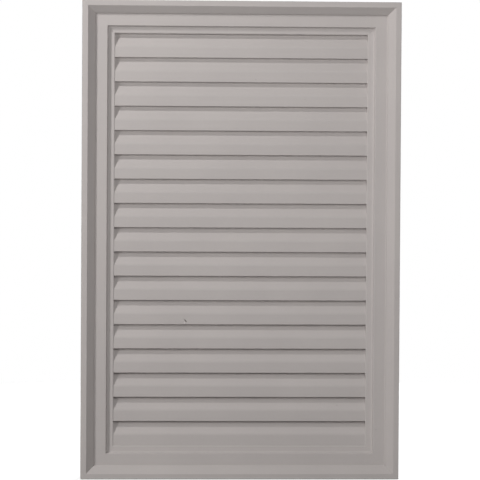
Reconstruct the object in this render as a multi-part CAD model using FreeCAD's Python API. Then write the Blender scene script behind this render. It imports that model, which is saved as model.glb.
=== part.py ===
import FreeCAD, Part
import math
import os

# Gable vent cast in one piece: a moulded frame around a bank of fixed louvres, closed at the back.
# All sizes are in millimetres. The back is flat and lies in the plane y = 0, the louvres look along -Y,
# +Z is up, and the origin is the middle of the back.

# Overall outline
vent_width = 609.6
vent_height = 914.4

# Frame moulding, widths from the outer edge inwards
strip_width = 10.4
bevel_width = 13.3
flat_width = 18.8
step_width = 0.7
hollow_width = 8.8
lip_width = 4.2

# Frame moulding, drops from the front backwards
bevel_drop = 10.4
cove_radius = 6.2
step_drop = 2.8
hollow_drop = 5.0

# Rounding of the frame's edges
outer_arris_radius = 1.2
inner_arris_radius = 0.6
hollow_root_radius = 2.5

# Louvres
louvre_pitch_wanted = 46.5
louvre_face_height = 20.0
louvre_setback = 3.0
louvre_slope_depth = 11.0
louvre_bend_radius = 12.0
louvre_drip_radius = 0.8
louvre_draft = 0.5
back_thickness = 12.4

# How far the louvre bank runs into the solid frame behind the lip
bank_overlap = 3.0

# Points closer than this are one point
same_point = 1e-6

# Projections from the wall, added up from the back to the front
louvre_level = back_thickness + louvre_slope_depth
lip_level = louvre_level + louvre_setback
hollow_head_level = lip_level + hollow_drop
flat_level = hollow_head_level + step_drop
bevel_foot_level = flat_level + cove_radius
strip_level = bevel_foot_level + bevel_drop

# Insets from the outer edge, added up from the outside to the opening
bevel_foot_inset = strip_width + bevel_width
flat_inner_inset = bevel_foot_inset + cove_radius + flat_width
hollow_head_inset = flat_inner_inset + step_width
hollow_foot_inset = hollow_head_inset + hollow_width
opening_inset = hollow_foot_inset + lip_width

# Louvre bank inside the frame
bank_width = vent_width - 2 * opening_inset
bank_height = vent_height - 2 * opening_inset
bank_foot = -bank_height / 2
louvre_count = max(1, round(bank_height / louvre_pitch_wanted))
louvre_pitch = bank_height / louvre_count


def corner_points(before, corner, after, radius):
    """Start, middle and end of the arc that rounds one corner, or the corner alone if it is sharp."""
    if not radius:
        return [corner]
    back = (before - corner).normalize()
    ahead = (after - corner).normalize()
    half_angle = back.getAngle(ahead) / 2
    reach = radius / math.tan(half_angle)
    inwards = (back + ahead).normalize()
    middle = corner + inwards * (radius / math.sin(half_angle) - radius)
    return [corner + back * reach, middle, corner + ahead * reach]


def section_face(corners):
    """Face in the plane x = 0 inside a ring of corners: projection from the wall, height, rounding."""
    points = [FreeCAD.Vector(0, -level, height) for level, height, radius in corners]
    followers = points[1:] + points[:1]
    stretches = [
        corner_points(points[number - 1], points[number], followers[number], radius)
        for number, (level, height, radius) in enumerate(corners)
    ]
    edges = []
    for number, stretch in enumerate(stretches):
        start, end = stretches[number - 1][-1], stretch[0]
        if start.distanceToPoint(end) > same_point:
            edges.append(Part.makeLine(start, end))
        if len(stretch) > 1:
            edges.append(Part.Arc(*stretch).toShape())
    return Part.Face(Part.Wire(edges))


def frame_section():
    """Section of the frame moulding at the middle of the foot, with the outer edge lowest."""
    edge = -vent_height / 2
    sharp = 0
    return section_face([
        (0, edge + opening_inset, sharp),
        (0, edge, sharp),
        (strip_level, edge, outer_arris_radius),
        (strip_level, edge + strip_width, inner_arris_radius),
        (bevel_foot_level, edge + bevel_foot_inset, sharp),
        (flat_level, edge + bevel_foot_inset, cove_radius),
        (flat_level, edge + flat_inner_inset, inner_arris_radius),
        (hollow_head_level, edge + hollow_head_inset, hollow_root_radius),
        (lip_level, edge + hollow_foot_inset, sharp),
        (lip_level, edge + opening_inset, inner_arris_radius),
    ])


def mitred_frame():
    """Frame moulding carried round the four sides with mitred corners."""
    right, top = vent_width / 2, vent_height / 2
    path = Part.makePolygon([
        FreeCAD.Vector(0, 0, -top),
        FreeCAD.Vector(right, 0, -top),
        FreeCAD.Vector(right, 0, top),
        FreeCAD.Vector(-right, 0, top),
        FreeCAD.Vector(-right, 0, -top),
        FreeCAD.Vector(0, 0, -top),
    ])
    make_solid, follow_frenet, right_corner = True, False, 1
    return path.makePipeShell([frame_section().OuterWire], make_solid, follow_frenet, right_corner)


def louvre_corners(foot):
    """Corners of one louvre: inner end of its underside, drip edge and bend."""
    return [
        (back_thickness, foot - louvre_draft, 0),
        (louvre_level, foot, louvre_drip_radius),
        (louvre_level, foot + louvre_face_height, louvre_bend_radius),
    ]


def louvre_bank():
    """All louvres on their closed back, run a little way into the frame on every side."""
    below = bank_foot - bank_overlap
    above = bank_foot + bank_height + bank_overlap
    corners = [(back_thickness, above, 0), (0, above, 0), (0, below, 0), (louvre_level, below, 0)]
    for number in range(louvre_count):
        louvre = louvre_corners(bank_foot + number * louvre_pitch)
        # The lowest louvre stands on the frame and has no underside or drip edge
        corners += louvre if number else louvre[2:]
    corners.append((back_thickness, bank_foot + bank_height, 0))
    length = bank_width + 2 * bank_overlap
    bank = section_face(corners).extrude(FreeCAD.Vector(length, 0, 0))
    bank.translate(FreeCAD.Vector(-length / 2, 0, 0))
    return bank


vent = mitred_frame().fuse(louvre_bank()).removeSplitter()

os.makedirs("parts", exist_ok=True)
vent.Solids[0].exportStep("parts/vent_moulding.step")
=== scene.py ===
"""Looks of a gable vent cast in one piece: a moulded frame round fixed louvres, primed, on a studio floor.

All lengths are in metres. The back lies in the plane y = 0, the louvres look along -Y and +Z is up.
"""
import logging
import math
from dataclasses import dataclass, field
from enum import Enum

import bmesh
import bpy
from mathutils import Matrix, Vector, noise

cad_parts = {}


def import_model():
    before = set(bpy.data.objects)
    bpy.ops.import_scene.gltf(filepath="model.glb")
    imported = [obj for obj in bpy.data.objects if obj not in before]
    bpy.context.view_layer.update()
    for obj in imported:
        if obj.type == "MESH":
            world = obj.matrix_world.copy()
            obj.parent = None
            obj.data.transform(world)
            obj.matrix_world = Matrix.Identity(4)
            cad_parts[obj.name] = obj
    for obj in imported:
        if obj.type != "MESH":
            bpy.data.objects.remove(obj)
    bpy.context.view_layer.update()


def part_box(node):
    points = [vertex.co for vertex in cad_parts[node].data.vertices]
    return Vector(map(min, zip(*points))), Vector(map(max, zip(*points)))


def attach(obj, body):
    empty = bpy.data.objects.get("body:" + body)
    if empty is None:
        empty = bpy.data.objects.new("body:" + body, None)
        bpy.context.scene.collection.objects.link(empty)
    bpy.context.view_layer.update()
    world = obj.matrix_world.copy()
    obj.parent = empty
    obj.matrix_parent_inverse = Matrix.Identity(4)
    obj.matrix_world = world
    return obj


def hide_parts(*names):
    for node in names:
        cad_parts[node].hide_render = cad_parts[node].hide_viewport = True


LOG = logging.getLogger("gable_vent")

NODE = "vent_moulding"
BODY = "root"
NO_MATERIAL_CHANGE = -1
ROUND_PROFILE = 0.5
WHITE = (1, 1, 1, 1)

# Sockets of a colour mix node, whose names are not unique
MIX_FIRST = 6
MIX_SECOND = 7
MIX_RESULT = 2

Rgb = tuple[float, float, float]
Point = tuple[float, float, float]


class Rounding(Enum):
    """Edges of the moulding that are rounded, with the mark that finds them in the mesh."""

    LOUVRE_BEND = 1
    LOUVRE_ROOT = 2
    LOUVRE_DRIP = 3
    LIP_ARRIS = 4
    HOLLOW_ROOT = 5
    STEP_ARRIS = 6
    COVE = 7
    STRIP_INNER_ARRIS = 8
    STRIP_OUTER_ARRIS = 9


class LampRole(Enum):
    """What each studio lamp is for."""

    KEY = "key_lamp"
    FILL = "fill_lamp"
    FRONT = "front_lamp"
    NEAR = "near_lamp"
    BACK = "back_lamp"


def bevel_reach(radius: float, before: Vector, after: Vector) -> float:
    """How far a rounding of one radius reaches along each of the two faces beside its edge.

    Args:
        radius: Radius of the rounding.
        before: Direction of the section before the corner.
        after: Direction of the section after the corner.

    Returns:
        The distance from the corner to where the rounding starts.
    """
    return radius * math.tan(before.angle(after) / 2)


def extrude_row(mesh: bmesh.types.BMesh, row: list, move: Vector) -> list:
    """Draws a row of edges out into a strip of faces.

    Args:
        mesh: Mesh that holds the row.
        row: Edges to draw out.
        move: How far and where they go.

    Returns:
        The edges of the new row.
    """
    drawn = bmesh.ops.extrude_edge_only(mesh, edges=row)["geom"]
    points = {item for item in drawn if isinstance(item, bmesh.types.BMVert)}
    bmesh.ops.translate(mesh, verts=list(points), vec=move)
    edges = [item for item in drawn if isinstance(item, bmesh.types.BMEdge)]
    return [edge for edge in edges if points.issuperset(edge.verts)]


def points_of(edges: list) -> list:
    """Points at the ends of some edges, each once and in a steady order."""
    return list(dict.fromkeys(point for edge in edges for point in edge.verts))


@dataclass
class EdgeMarks:
    """Marks on the edges that are rounded once the whole surface is drawn."""

    mesh: bmesh.types.BMesh
    reaches: dict[Rounding, float] = field(default_factory=dict)

    def __post_init__(self) -> None:
        """Makes the layer that holds the marks."""
        self.mesh.edges.layers.int.new("rounding")

    def mark(self, edges: list, rounding: Rounding, reach: float) -> None:
        """Marks edges for one rounding.

        Args:
            edges: Edges to round later.
            rounding: Which rounding they get.
            reach: How far it reaches along the faces beside the edge.
        """
        layer = self.mesh.edges.layers.int["rounding"]
        for edge in edges:
            edge[layer] = rounding.value
        self.reaches[rounding] = reach

    def round_off(self, rounding: Rounding, segments: int) -> None:
        """Rounds the edges that carry one mark.

        Args:
            rounding: Which rounding.
            segments: Number of strips across it.
        """
        layer = self.mesh.edges.layers.int["rounding"]
        edges = [edge for edge in self.mesh.edges if edge[layer] == rounding.value]
        bmesh.ops.bevel(
            self.mesh,
            geom=edges,
            offset=self.reaches[rounding],
            offset_type="OFFSET",
            segments=segments,
            profile=ROUND_PROFILE,
            affect="EDGES",
            material=NO_MATERIAL_CHANGE,
            clamp_overlap=True,
        )


@dataclass
class LouvreBank:
    """Fixed louvres on their closed back: an upright face, a bend and a slope up to the next drip edge."""

    half_width: float
    foot: float
    height: float
    pitch_wanted: float = 0.0465
    face_height: float = 0.0212
    lift: float = 0.0009
    slope_depth: float = 0.011
    underside_draft: float = 0.0015
    bend_radius: float = 0.012
    drip_radius: float = 0.0008
    root_radius: float = 0.0018
    back_thickness: float = 0.0142
    columns: int = 48
    face_rows: int = 3
    slope_rows: int = 3
    bend_segments: int = 8
    drip_segments: int = 8
    root_segments: int = 7

    @property
    def count(self) -> int:
        """Number of louvres."""
        return max(1, round(self.height / self.pitch_wanted))

    @property
    def pitch(self) -> float:
        """Height from one louvre to the next."""
        return self.height / self.count

    @property
    def level(self) -> float:
        """Projection of the louvre faces from the wall."""
        return self.back_thickness + self.slope_depth

    def first_row(self, mesh: bmesh.types.BMesh) -> list:
        """Lays the lowest edge of the bank across the opening.

        Args:
            mesh: Mesh that gets the edge.

        Returns:
            The edge's pieces, one for each column.
        """
        ends = [mesh.verts.new((side * self.half_width, -self.level, self.foot)) for side in (-1, 1)]
        edge = mesh.edges.new(ends)
        cut = bmesh.ops.subdivide_edges(mesh, edges=[edge], cuts=self.columns - 1)
        return [item for item in cut["geom"] if isinstance(item, bmesh.types.BMEdge)]

    def draw_out(self, mesh: bmesh.types.BMesh, row: list, move: Vector, rows: int) -> list:
        """Draws a row out in equal steps and gives the last row.

        Args:
            mesh: Mesh that holds the row.
            row: Edges to start from.
            move: The whole way.
            rows: Number of steps.

        Returns:
            The edges of the last row.
        """
        for _ in range(rows):
            row = extrude_row(mesh, row, move / rows)
        return row

    def build(self, mesh: bmesh.types.BMesh, marks: EdgeMarks) -> None:
        """Draws all the louvres upwards from the foot as one folded strip.

        Args:
            mesh: Mesh that gets the bank.
            marks: Marks for the bends, roots and drip edges.
        """
        lift = Vector((0, 0, self.lift))
        upright = Vector((0, 0, self.face_height))
        underside = Vector((0, -self.slope_depth, self.underside_draft))
        slope = Vector((0, self.slope_depth, self.pitch - self.face_height - self.underside_draft))
        row = self.first_row(mesh)
        bends, roots, drips = [], [], []
        for number in range(self.count):
            # The lowest face is taller and the highest slope shorter, by as much as the bank is lifted
            taller = lift if number == 0 else Vector()
            shorter = lift if number == self.count - 1 else Vector()
            bend = self.draw_out(mesh, row, upright + taller, self.face_rows)
            root = self.draw_out(mesh, bend, slope - shorter, self.slope_rows)
            row = extrude_row(mesh, root, underside)
            bends += bend
            roots += root
            drips.append(row)
        # The highest row lies against the frame and keeps its edge
        drips = [edge for drip in drips[:-1] for edge in drip]
        marks.mark(bends, Rounding.LOUVRE_BEND, bevel_reach(self.bend_radius, upright, slope))
        marks.mark(roots, Rounding.LOUVRE_ROOT, bevel_reach(self.root_radius, slope, underside))
        marks.mark(drips, Rounding.LOUVRE_DRIP, bevel_reach(self.drip_radius, underside, upright))
        marks.round_off(Rounding.LOUVRE_BEND, self.bend_segments)
        marks.round_off(Rounding.LOUVRE_ROOT, self.root_segments)
        marks.round_off(Rounding.LOUVRE_DRIP, self.drip_segments)


@dataclass(frozen=True)
class SectionCorner:
    """One corner of the frame's section: inset from the outer edge, projection from the wall and rounding."""

    inset: float
    level: float
    rounding: Rounding | None = None
    radius: float = 0.0
    segments: int = 0


@dataclass
class FrameMoulding:
    """Mitred frame round the louvres: lip, hollow, step, flat, steep cove, bevel, strip and outer side."""

    half_width: float
    half_height: float
    louvre_level: float
    strip_width: float = 0.0104
    bevel_width: float = 0.0133
    cove_width: float = 0.002
    flat_width: float = 0.0223
    step_width: float = 0.002
    hollow_width: float = 0.0082
    lip_width: float = 0.0042
    lip_chamfer_width: float = 0.0016
    louvre_setback: float = 0.0012
    lip_chamfer_drop: float = 0.0008
    hollow_drop: float = 0.0006
    step_drop: float = 0.0072
    cove_drop: float = 0.0042
    cove_radius: float = 0.0012
    bevel_drop: float = 0.0124
    outer_arris_radius: float = 0.0012
    inner_arris_radius: float = 0.0006
    lip_arris_radius: float = 0.0004
    hollow_root_radius: float = 0.0035
    step_arris_radius: float = 0.001
    outer_arris_segments: int = 7
    inner_arris_segments: int = 4
    lip_arris_segments: int = 5
    hollow_root_segments: int = 9
    step_arris_segments: int = 6
    cove_segments: int = 6
    back_band: float = 0.012

    @property
    def opening_inset(self) -> float:
        """Width of the whole frame, from the outer edge to the louvres."""
        outer = self.strip_width + self.bevel_width + self.cove_width + self.flat_width
        return outer + self.step_width + self.hollow_width + self.lip_width

    def corners(self) -> list[SectionCorner]:
        """Corners of the section, from the opening out to the back edge.

        Returns:
            The corners in the order in which the frame is drawn.
        """
        lip_level = self.louvre_level + self.louvre_setback
        chamfer_level = lip_level - self.lip_chamfer_drop
        hollow_level = lip_level + self.hollow_drop
        flat_level = hollow_level + self.step_drop
        bevel_level = flat_level + self.cove_drop
        strip_level = bevel_level + self.bevel_drop
        bevel_foot = self.strip_width + self.bevel_width
        flat_outer = bevel_foot + self.cove_width
        flat_inner = flat_outer + self.flat_width
        hollow_head = flat_inner + self.step_width
        lip_inset = self.opening_inset - self.lip_chamfer_width
        return [
            SectionCorner(
                self.opening_inset, chamfer_level,
                Rounding.LIP_ARRIS, self.lip_arris_radius, self.lip_arris_segments,
            ),
            SectionCorner(lip_inset, lip_level),
            SectionCorner(hollow_head + self.hollow_width, lip_level),
            SectionCorner(
                hollow_head, hollow_level,
                Rounding.HOLLOW_ROOT, self.hollow_root_radius, self.hollow_root_segments,
            ),
            SectionCorner(
                flat_inner, flat_level,
                Rounding.STEP_ARRIS, self.step_arris_radius, self.step_arris_segments,
            ),
            SectionCorner(flat_outer, flat_level, Rounding.COVE, self.cove_radius, self.cove_segments),
            SectionCorner(bevel_foot, bevel_level),
            SectionCorner(
                self.strip_width, strip_level,
                Rounding.STRIP_INNER_ARRIS, self.inner_arris_radius, self.inner_arris_segments,
            ),
            SectionCorner(
                0, strip_level,
                Rounding.STRIP_OUTER_ARRIS, self.outer_arris_radius, self.outer_arris_segments,
            ),
            SectionCorner(0, 0),
        ]

    def widen(self, mesh: bmesh.types.BMesh, points: list, before: float, after: float) -> None:
        """Spreads a ring from one inset to the next, so that its corners stay mitred.

        Args:
            mesh: Mesh that holds the ring.
            points: Points of the ring.
            before: Inset that it has.
            after: Inset that it gets.
        """
        across = (self.half_width - after) / (self.half_width - before)
        upwards = (self.half_height - after) / (self.half_height - before)
        bmesh.ops.scale(mesh, verts=points, vec=(across, 1, upwards))

    def build(self, mesh: bmesh.types.BMesh, marks: EdgeMarks) -> None:
        """Draws the frame outwards from the rim of the louvre bank and closes the back.

        Args:
            mesh: Mesh that holds the bank and gets the frame.
            marks: Marks for the rounded edges.
        """
        corners = self.corners()
        first = corners[0]
        ring = extrude_row(mesh, [edge for edge in mesh.edges if edge.is_boundary], Vector())
        bmesh.ops.scale(mesh, verts=points_of(ring), vec=(1, 0, 1))
        bmesh.ops.translate(mesh, verts=points_of(ring), vec=(0, -first.level, 0))
        drawn = [(first, ring)]
        for before, after in zip(corners, corners[1:]):
            ring = extrude_row(mesh, ring, Vector((0, before.level - after.level, 0)))
            self.widen(mesh, points_of(ring), before.inset, after.inset)
            drawn.append((after, ring))
        back = extrude_row(mesh, ring, Vector())
        self.widen(mesh, points_of(back), 0, self.back_band)
        bmesh.ops.contextual_create(mesh, geom=back)
        self.mark_corners(marks, drawn)
        for corner in corners:
            if corner.rounding:
                marks.round_off(corner.rounding, corner.segments)

    def mark_corners(self, marks: EdgeMarks, drawn: list[tuple[SectionCorner, list]]) -> None:
        """Marks the rounded corners of the section once their neighbours are known.

        Args:
            marks: Marks for the rounded edges.
            drawn: Each corner with its ring of edges.
        """
        into_opening = Vector((0, 1))
        places = [Vector((corner.inset, -corner.level)) for corner, _ in drawn]
        for number, (corner, ring) in enumerate(drawn):
            if corner.rounding:
                before = places[number] - places[number - 1] if number else -into_opening
                after = places[number + 1] - places[number]
                marks.mark(ring, corner.rounding, bevel_reach(corner.radius, before, after))


@dataclass(frozen=True)
class Nick:
    """Small slanting chip in the face of one louvre, with a burr along its lower left side."""

    across: float = -0.105
    height: float = -0.1551
    slant: float = math.radians(50)
    half_length: float = 0.0046
    half_width: float = 0.0013
    depth: float = 0.0011
    burr: float = 0.0004
    burr_along: float = 0.3
    burr_aside: float = -1.7
    burr_shortness: float = 3
    burr_thinness: float = 1.5
    face_tolerance: float = 0.0002
    window: Vector = field(default_factory=lambda: Vector((0.016, 0.0085)))
    cuts: int = 9

    def offsets(self, place: Vector) -> tuple[float, float]:
        """Place along and across the chip, in shares of its half length and half width.

        Args:
            place: Point of the mesh.

        Returns:
            The share along the chip and the share across it, positive on its upper right.
        """
        right, up = place.x - self.across, place.z - self.height
        along = right * math.cos(self.slant) - up * math.sin(self.slant)
        aside = right * math.sin(self.slant) + up * math.cos(self.slant)
        return along / self.half_length, aside / self.half_width

    def lies_near(self, face: bmesh.types.BMFace, level: float) -> bool:
        """Whether a face belongs to the front of the louvres close to the chip.

        Args:
            face: Face of the mesh.
            level: Projection of the louvre faces from the wall.

        Returns:
            True for a face that the chip may reach.
        """
        middle = face.calc_center_median()
        in_width = abs(middle.x - self.across) < self.window.x
        in_height = abs(middle.z - self.height) < self.window.y
        return in_width and in_height and all(
            abs(point.co.y + level) < self.face_tolerance for point in face.verts
        )

    def press(self, mesh: bmesh.types.BMesh, level: float) -> None:
        """Refines the louvre face round the chip and presses it in.

        Args:
            mesh: Mesh of the vent.
            level: Projection of the louvre faces from the wall.
        """
        faces = [face for face in mesh.faces if self.lies_near(face, level)]
        edges = list(dict.fromkeys(edge for face in faces for edge in face.edges))
        cut = bmesh.ops.subdivide_edges(mesh, edges=edges, cuts=self.cuts, use_grid_fill=True)
        for point in cut["geom_inner"]:
            if isinstance(point, bmesh.types.BMVert):
                along, aside = self.offsets(point.co)
                chip = math.exp(-along ** 4 - aside ** 2)
                burr = math.exp(
                    -(along - self.burr_along) ** 2 * self.burr_shortness
                    - (aside - self.burr_aside) ** 2 * self.burr_thinness
                )
                point.co.y += self.depth * chip - self.burr * burr


@dataclass(frozen=True)
class CastWaver:
    """Slight unevenness of a cast surface, kept off the outer strip and the back."""

    amount: float = 0.00015
    length: float = 0.09
    tall: float = 0.04
    lowest_level: float = 0.004
    highest_level: float = 0.045

    def apply(self, mesh: bmesh.types.BMesh) -> None:
        """Moves the points of the louvres and the inner frame a little in and out.

        Args:
            mesh: Mesh of the vent.
        """
        for point in mesh.verts:
            if self.lowest_level < -point.co.y < self.highest_level:
                place = Vector((point.co.x / self.length, 0, point.co.z / self.tall))
                point.co.y += self.amount * noise.noise(place)


class NodeTree:
    """Short way to add and join the nodes of one material, group or world."""

    def __init__(self, tree: bpy.types.NodeTree) -> None:
        """Keeps the tree that gets the nodes."""
        self.tree = tree

    def add(self, kind: str, settings: dict | None = None, inputs: dict | None = None) -> bpy.types.Node:
        """Adds one node.

        Args:
            kind: Type of the node.
            settings: Properties to set on it.
            inputs: Sockets to set, by name or number, to a value or to another node's output.

        Returns:
            The new node.
        """
        node = self.tree.nodes.new(kind)
        for name, value in (settings or {}).items():
            setattr(node, name, value)
        for name, value in (inputs or {}).items():
            if isinstance(value, bpy.types.NodeSocket):
                self.tree.links.new(value, node.inputs[name])
            else:
                node.inputs[name].default_value = value
        return node


class NodeGroup(NodeTree):
    """Shader node group with named inputs and outputs."""

    def __init__(self, name: str, inputs: dict[str, str], outputs: dict[str, str]) -> None:
        """Makes the group and its sockets.

        Args:
            name: Name of the group.
            inputs: Kind of each input socket by name.
            outputs: Kind of each output socket by name.
        """
        super().__init__(bpy.data.node_groups.new(name, "ShaderNodeTree"))
        for in_out, sockets in (("INPUT", inputs), ("OUTPUT", outputs)):
            for socket, kind in sockets.items():
                self.tree.interface.new_socket(name=socket, in_out=in_out, socket_type=kind)
        self.given = self.add("NodeGroupInput").outputs
        self.result = self.add("NodeGroupOutput").inputs

    def put_out(self, name: str, socket: bpy.types.NodeSocket) -> None:
        """Joins a socket to one of the group's outputs."""
        self.tree.links.new(socket, self.result[name])


FLOAT = "NodeSocketFloat"
VECTOR = "NodeSocketVector"


def sprayed_grain_group() -> bpy.types.NodeTree:
    """Fine grain and soft orange peel of a sprayed coat.

    Returns:
        The group: Vector, Grain Scale, Peel Scale and Peel Share in, Height out.
    """
    group = NodeGroup(
        "sprayed_grain",
        {"Vector": VECTOR, "Grain Scale": FLOAT, "Peel Scale": FLOAT, "Peel Share": FLOAT},
        {"Height": FLOAT},
    )
    fine = group.add("ShaderNodeTexNoise", inputs={
        "Vector": group.given["Vector"], "Scale": group.given["Grain Scale"], "Detail": 2.0, "Roughness": 0.6,
    })
    peel = group.add("ShaderNodeTexNoise", inputs={
        "Vector": group.given["Vector"], "Scale": group.given["Peel Scale"], "Detail": 1.0, "Roughness": 0.4,
    })
    both = group.add("ShaderNodeMix", {"data_type": "FLOAT"}, {
        "Factor": group.given["Peel Share"], "A": fine.outputs["Fac"], "B": peel.outputs["Fac"],
    })
    group.put_out("Height", both.outputs["Result"])
    return group.tree


def soft_mottle_group() -> bpy.types.NodeTree:
    """Slow change of tone over a coated surface, with a faint finer fleck in it.

    Returns:
        The group: Vector, Patch Scale, Fleck Scale and Fleck Share in, Tone out.
    """
    group = NodeGroup(
        "soft_mottle",
        {"Vector": VECTOR, "Patch Scale": FLOAT, "Fleck Scale": FLOAT, "Fleck Share": FLOAT},
        {"Tone": FLOAT},
    )
    patch = group.add("ShaderNodeTexNoise", inputs={
        "Vector": group.given["Vector"], "Scale": group.given["Patch Scale"], "Detail": 2.0, "Roughness": 0.5,
    })
    fleck = group.add("ShaderNodeTexNoise", inputs={
        "Vector": group.given["Vector"], "Scale": group.given["Fleck Scale"], "Detail": 3.0, "Roughness": 0.7,
    })
    both = group.add("ShaderNodeMix", {"data_type": "FLOAT"}, {
        "Factor": group.given["Fleck Share"], "A": patch.outputs["Fac"], "B": fleck.outputs["Fac"],
    })
    spread = group.add("ShaderNodeMapRange", {"interpolation_type": "SMOOTHSTEP"}, {
        "Value": both.outputs["Result"], "From Min": 0.3, "From Max": 0.7,
    })
    group.put_out("Tone", spread.outputs["Result"])
    return group.tree


def spot_mask_group() -> bpy.types.NodeTree:
    """Soft-edged spot round the origin of its vector.

    Returns:
        The group: Vector and Softness in, Mask out, which is 1 in the spot and 0 outside it.
    """
    group = NodeGroup("spot_mask", {"Vector": VECTOR, "Softness": FLOAT}, {"Mask": FLOAT})
    away = group.add("ShaderNodeVectorMath", {"operation": "LENGTH"}, {"Vector": group.given["Vector"]})
    inner = group.add("ShaderNodeMath", {"operation": "SUBTRACT"}, {0: 1.0, 1: group.given["Softness"]})
    mask = group.add("ShaderNodeMapRange", {"interpolation_type": "SMOOTHSTEP"}, {
        "Value": away.outputs["Value"], "From Min": inner.outputs["Value"], "From Max": 1.0,
        "To Min": 1.0, "To Max": 0.0,
    })
    group.put_out("Mask", mask.outputs["Result"])
    return group.tree


@dataclass(frozen=True)
class Spot:
    """One small mark in the primer: its middle, half sizes, turn about the view, tone and softness."""

    place: Point
    half_size: Point
    turn: float
    tone: Rgb
    strength: float
    softness: float = 0.6


@dataclass(frozen=True)
class EffectGroups:
    """Node groups that the finishes share."""

    grain: bpy.types.NodeTree
    mottle: bpy.types.NodeTree
    spot: bpy.types.NodeTree


@dataclass(frozen=True)
class PrimerFinish:
    """Matt factory primer: warm off-white, sprayed, with a slow mottle and a few small marks."""

    light_tone: Rgb = (0.464, 0.429, 0.415)
    dark_tone: Rgb = (0.448, 0.414, 0.402)
    smooth: float = 0.74
    rough: float = 0.88
    specular: float = 0.12
    bump_strength: float = 0.22
    bump_distance: float = 0.0005
    patch_scale: float = 9.0
    fleck_scale: float = 160.0
    fleck_share: float = 0.3
    grain_scale: float = 900.0
    peel_scale: float = 210.0
    peel_share: float = 0.45
    spots: tuple[Spot, ...] = ()

    def material(self, groups: EffectGroups) -> bpy.types.Material:
        """Makes the material.

        Args:
            groups: Shared node groups.

        Returns:
            The finished material.
        """
        material = bpy.data.materials.new("primer")
        material.use_nodes = True
        nodes = NodeTree(material.node_tree)
        shader = material.node_tree.nodes["Principled BSDF"]
        shader.inputs["Specular IOR Level"].default_value = self.specular
        place = nodes.add("ShaderNodeTexCoord").outputs["Object"]
        mottle = nodes.add("ShaderNodeGroup", {"node_tree": groups.mottle}, {
            "Vector": place, "Patch Scale": self.patch_scale,
            "Fleck Scale": self.fleck_scale, "Fleck Share": self.fleck_share,
        }).outputs["Tone"]
        grain = nodes.add("ShaderNodeGroup", {"node_tree": groups.grain}, {
            "Vector": place, "Grain Scale": self.grain_scale,
            "Peel Scale": self.peel_scale, "Peel Share": self.peel_share,
        }).outputs["Height"]
        colour = nodes.add("ShaderNodeMix", {"data_type": "RGBA"}, {
            "Factor": mottle, MIX_FIRST: (*self.dark_tone, 1), MIX_SECOND: (*self.light_tone, 1),
        }).outputs[MIX_RESULT]
        for spot in self.spots:
            colour = self.add_spot(nodes, groups, place, colour, spot)
        rough = nodes.add("ShaderNodeMapRange", inputs={
            "Value": mottle, "To Min": self.rough, "To Max": self.smooth,
        }).outputs["Result"]
        bump = nodes.add("ShaderNodeBump", inputs={
            "Strength": self.bump_strength, "Distance": self.bump_distance, "Height": grain,
        }).outputs["Normal"]
        links = material.node_tree.links
        links.new(colour, shader.inputs["Base Color"])
        links.new(rough, shader.inputs["Roughness"])
        links.new(bump, shader.inputs["Normal"])
        return material

    def add_spot(
        self,
        nodes: NodeTree,
        groups: EffectGroups,
        place: bpy.types.NodeSocket,
        colour: bpy.types.NodeSocket,
        spot: Spot,
    ) -> bpy.types.NodeSocket:
        """Lays one small mark over the colour.

        Args:
            nodes: Nodes of the material.
            groups: Shared node groups.
            place: Object coordinates.
            colour: Colour so far.
            spot: The mark.

        Returns:
            The colour with the mark on it.
        """
        centred = nodes.add("ShaderNodeMapping", {"vector_type": "TEXTURE"}, {
            "Vector": place, "Location": spot.place, "Rotation": (0, spot.turn, 0), "Scale": spot.half_size,
        }).outputs["Vector"]
        mask = nodes.add("ShaderNodeGroup", {"node_tree": groups.spot}, {
            "Vector": centred, "Softness": spot.softness,
        }).outputs["Mask"]
        weight = nodes.add("ShaderNodeMath", {"operation": "MULTIPLY"}, {
            0: mask, 1: spot.strength,
        }).outputs["Value"]
        return nodes.add("ShaderNodeMix", {"data_type": "RGBA"}, {
            "Factor": weight, MIX_FIRST: colour, MIX_SECOND: (*spot.tone, 1),
        }).outputs[MIX_RESULT]


@dataclass(frozen=True)
class FloorFinish:
    """Studio floor that looks white and keeps the shadow, but sends little light up into the vent's foot."""

    light_tone: Rgb = (0.32, 0.32, 0.32)
    dark_tone: Rgb = (0.30, 0.30, 0.30)
    roughness: float = 0.9
    glow: float = 0.75
    patch_scale: float = 1.5
    fleck_scale: float = 40.0
    fleck_share: float = 0.2

    def material(self, groups: EffectGroups) -> bpy.types.Material:
        """Makes the material.

        Args:
            groups: Shared node groups.

        Returns:
            The finished material.
        """
        material = bpy.data.materials.new("studio_floor")
        material.use_nodes = True
        nodes = NodeTree(material.node_tree)
        shader = material.node_tree.nodes["Principled BSDF"]
        shader.inputs["Roughness"].default_value = self.roughness
        place = nodes.add("ShaderNodeTexCoord").outputs["Object"]
        tone = nodes.add("ShaderNodeGroup", {"node_tree": groups.mottle}, {
            "Vector": place, "Patch Scale": self.patch_scale,
            "Fleck Scale": self.fleck_scale, "Fleck Share": self.fleck_share,
        }).outputs["Tone"]
        colour = nodes.add("ShaderNodeMix", {"data_type": "RGBA"}, {
            "Factor": tone, MIX_FIRST: (*self.dark_tone, 1), MIX_SECOND: (*self.light_tone, 1),
        }).outputs[MIX_RESULT]
        material.node_tree.links.new(colour, shader.inputs["Base Color"])
        strength = nodes.add("ShaderNodeMath", {"operation": "MULTIPLY"}, {
            0: seen_directly(nodes), 1: self.glow,
        }).outputs["Value"]
        glow = nodes.add("ShaderNodeEmission", inputs={"Strength": strength})
        both = nodes.add("ShaderNodeAddShader", inputs={
            0: shader.outputs["BSDF"], 1: glow.outputs["Emission"],
        })
        output = material.node_tree.nodes["Material Output"]
        material.node_tree.links.new(both.outputs["Shader"], output.inputs["Surface"])
        return material


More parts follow.
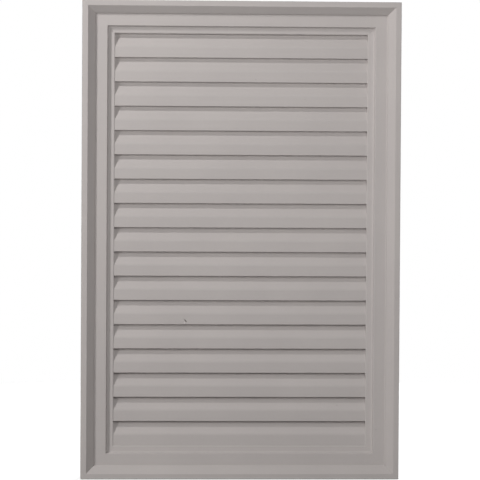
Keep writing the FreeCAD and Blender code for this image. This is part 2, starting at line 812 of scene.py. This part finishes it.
def seen_directly(nodes: NodeTree) -> bpy.types.NodeSocket:
    """Value that is 1 for what the camera sees, also in a reflection or through glass.

    Args:
        nodes: Nodes that get the test.

    Returns:
        The value's socket.
    """
    path = nodes.add("ShaderNodeLightPath").outputs
    first = nodes.add("ShaderNodeMath", {"operation": "MAXIMUM"}, {
        0: path["Is Camera Ray"], 1: path["Is Glossy Ray"],
    }).outputs["Value"]
    return nodes.add("ShaderNodeMath", {"operation": "MAXIMUM"}, {
        0: first, 1: path["Is Transmission Ray"],
    }).outputs["Value"]


@dataclass
class VentMoulding:
    """The whole vent: louvre bank and frame in one closed surface, with its cast waver, nick and primer."""

    low: Vector
    high: Vector
    finish: PrimerFinish
    nick: Nick = field(default_factory=Nick)
    waver: CastWaver = field(default_factory=CastWaver)
    sharp_angle: float = math.radians(16)
    same_point: float = 1e-6

    def build(self, groups: EffectGroups) -> bpy.types.Object:
        """Draws the mesh, finishes it and puts it in the scene.

        Args:
            groups: Shared node groups.

        Returns:
            The finished piece.
        """
        size = self.high - self.low
        # The width of the frame doesn't depend on the level of the louvres
        inset = FrameMoulding(size.x / 2, size.z / 2, 0.0).opening_inset
        bank = LouvreBank(size.x / 2 - inset, inset - size.z / 2, size.z - 2 * inset)
        frame = FrameMoulding(size.x / 2, size.z / 2, bank.level)
        mesh = bmesh.new()
        marks = EdgeMarks(mesh)
        bank.build(mesh, marks)
        frame.build(mesh, marks)
        bmesh.ops.remove_doubles(mesh, verts=mesh.verts[:], dist=self.same_point)
        self.nick.press(mesh, bank.level)
        self.waver.apply(mesh)
        bmesh.ops.recalc_face_normals(mesh, faces=mesh.faces[:])
        data = bpy.data.meshes.new("gable_vent")
        mesh.to_mesh(data)
        mesh.free()
        return self.dress(data, groups)

    def dress(self, data: bpy.types.Mesh, groups: EffectGroups) -> bpy.types.Object:
        """Shades the mesh, gives it the primer and ties it to the frame.

        Args:
            data: The vent's mesh.
            groups: Shared node groups.

        Returns:
            The finished piece.
        """
        data.shade_smooth()
        data.set_sharp_from_angle(angle=self.sharp_angle)
        data.materials.append(self.finish.material(groups))
        piece = bpy.data.objects.new("gable_vent", data)
        bpy.context.scene.collection.objects.link(piece)
        even = piece.modifiers.new("even_shading", "WEIGHTED_NORMAL")
        even.keep_sharp = True
        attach(piece, BODY)
        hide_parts(NODE)
        return piece


@dataclass(frozen=True)
class Lamp:
    """Round studio lamp aimed at the middle of the vent."""

    role: LampRole
    place: Point
    size: float
    power: float

    def build(self) -> None:
        """Puts the lamp in the scene."""
        light = bpy.data.lights.new(self.role.value, "AREA")
        light.shape = "DISK"
        light.size = self.size
        light.energy = self.power
        thing = bpy.data.objects.new(self.role.value, light)
        thing.location = self.place
        thing.rotation_euler = (-Vector(self.place)).to_track_quat("-Z", "Y").to_euler()
        bpy.context.scene.collection.objects.link(thing)


@dataclass(frozen=True)
class StudioCamera:
    """Long lens almost square to the vent, a little to the left of its middle and above it."""

    target: Point = (-0.0025, -0.0498, 0.0012)
    distance: float = 6.0
    azimuth: float = math.radians(-3.5)
    elevation: float = math.radians(1.5)
    roll: float = math.radians(0.336)
    lens: float = 235.57
    sensor: float = 36.0

    def build(self) -> None:
        """Puts the camera in the scene and makes it the scene's own."""
        level = math.cos(self.elevation)
        back = Vector((
            math.sin(self.azimuth) * level, -math.cos(self.azimuth) * level, math.sin(self.elevation),
        ))
        right = Vector((0, 0, 1)).cross(back).normalized()
        turn = Matrix((right, back.cross(right), back)).transposed() @ Matrix.Rotation(self.roll, 3, "Z")
        data = bpy.data.cameras.new("studio_camera")
        data.lens = self.lens
        data.sensor_width = self.sensor
        camera = bpy.data.objects.new("studio_camera", data)
        camera.matrix_world = Matrix.Translation(Vector(self.target) + back * self.distance) @ turn.to_4x4()
        bpy.context.scene.collection.objects.link(camera)
        bpy.context.scene.camera = camera


@dataclass
class Studio:
    """Pale floor, soft lamps, even surroundings and the camera."""

    floor_level: float
    finish: FloorFinish
    lamps: tuple[Lamp, ...]
    camera: StudioCamera
    floor_radius: float = 2.6
    floor_segments: int = 96
    surroundings: float = 0.01
    white_strength: float = 1.0

    def build(self, groups: EffectGroups) -> None:
        """Sets up the whole studio.

        Args:
            groups: Shared node groups.
        """
        self.lay_floor(groups)
        self.light_surroundings()
        for lamp in self.lamps:
            lamp.build()
        self.camera.build()
        bpy.context.scene.view_settings.view_transform = "Standard"

    def lay_floor(self, groups: EffectGroups) -> None:
        """Lays a round floor under the vent's foot.

        Args:
            groups: Shared node groups.
        """
        mesh = bmesh.new()
        bmesh.ops.create_circle(mesh, cap_ends=True, radius=self.floor_radius, segments=self.floor_segments)
        bmesh.ops.translate(mesh, verts=mesh.verts[:], vec=(0, 0, self.floor_level))
        data = bpy.data.meshes.new("studio_floor")
        mesh.to_mesh(data)
        mesh.free()
        data.materials.append(self.finish.material(groups))
        floor = bpy.data.objects.new("studio_floor", data)
        bpy.context.scene.collection.objects.link(floor)

    def light_surroundings(self) -> None:
        """Gives the surroundings an even soft light that shows as white behind the vent."""
        world = bpy.data.worlds.new("studio_surroundings")
        world.use_nodes = True
        nodes = NodeTree(world.node_tree)
        soft = world.node_tree.nodes["Background"]
        soft.inputs["Color"].default_value = WHITE
        soft.inputs["Strength"].default_value = self.surroundings
        white = nodes.add("ShaderNodeBackground", inputs={"Color": WHITE, "Strength": self.white_strength})
        both = nodes.add("ShaderNodeMixShader", inputs={
            0: seen_directly(nodes), 1: soft.outputs["Background"], 2: white.outputs["Background"],
        })
        output = world.node_tree.nodes["World Output"]
        world.node_tree.links.new(both.outputs["Shader"], output.inputs["Surface"])
        bpy.context.scene.world = world


LAMPS = (
    Lamp(LampRole.KEY, (-1.15, -0.85, 1.3), 0.12, 14.8),
    Lamp(LampRole.FILL, (-2.4, -2.0, 0.3), 0.3, 24.6),
    Lamp(LampRole.FRONT, (0.3, -2.6, 0.6), 0.5, 18.0),
    Lamp(LampRole.NEAR, (0.2, -1.4, 0.65), 0.4, 4.5),
    Lamp(LampRole.BACK, (0.9, 2.4, 1.1), 0.8, 56.0),
)

# Tones of the small marks: the chip, its pale edge and dull specks in the primer
CHIP_TONE = (0.10, 0.09, 0.085)
PALE_TONE = (0.62, 0.59, 0.57)
DULL_TONE = (0.30, 0.275, 0.265)

SPOTS = (
    Spot((-0.1047, -0.0252, -0.1550), (0.0050, 0.004, 0.0016), math.radians(50), CHIP_TONE, 0.8),
    Spot((-0.1068, -0.0252, -0.1588), (0.0020, 0.004, 0.0016), 0.0, PALE_TONE, 0.9),
    Spot((0.0275, -0.02, 0.3080), (0.0020, 0.02, 0.0014), 0.0, DULL_TONE, 0.4),
    Spot((0.1880, -0.02, -0.3170), (0.0022, 0.02, 0.0014), 0.0, DULL_TONE, 0.35),
    Spot((0.1223, -0.02, 0.2704), (0.0016, 0.02, 0.0016), 0.0, DULL_TONE, 0.3),
    Spot((0.2626, -0.0342, -0.3630), (0.0020, 0.004, 0.0016), 0.0, DULL_TONE, 0.35),
)


def main() -> None:
    """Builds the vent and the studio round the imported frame."""
    logging.basicConfig(level=logging.INFO, format="%(name)s: %(message)s")
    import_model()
    low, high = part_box(NODE)
    groups = EffectGroups(sprayed_grain_group(), soft_mottle_group(), spot_mask_group())
    vent = VentMoulding(low, high, PrimerFinish(spots=SPOTS)).build(groups)
    LOG.info("%s: %d faces, rides on %s", vent.name, len(vent.data.polygons), BODY)
    Studio(low.z, FloorFinish(), LAMPS, StudioCamera()).build(groups)
    LOG.info("studio: floor at %.4f m, %d lamps", low.z, len(LAMPS))


if __name__ == "__main__":
    main()
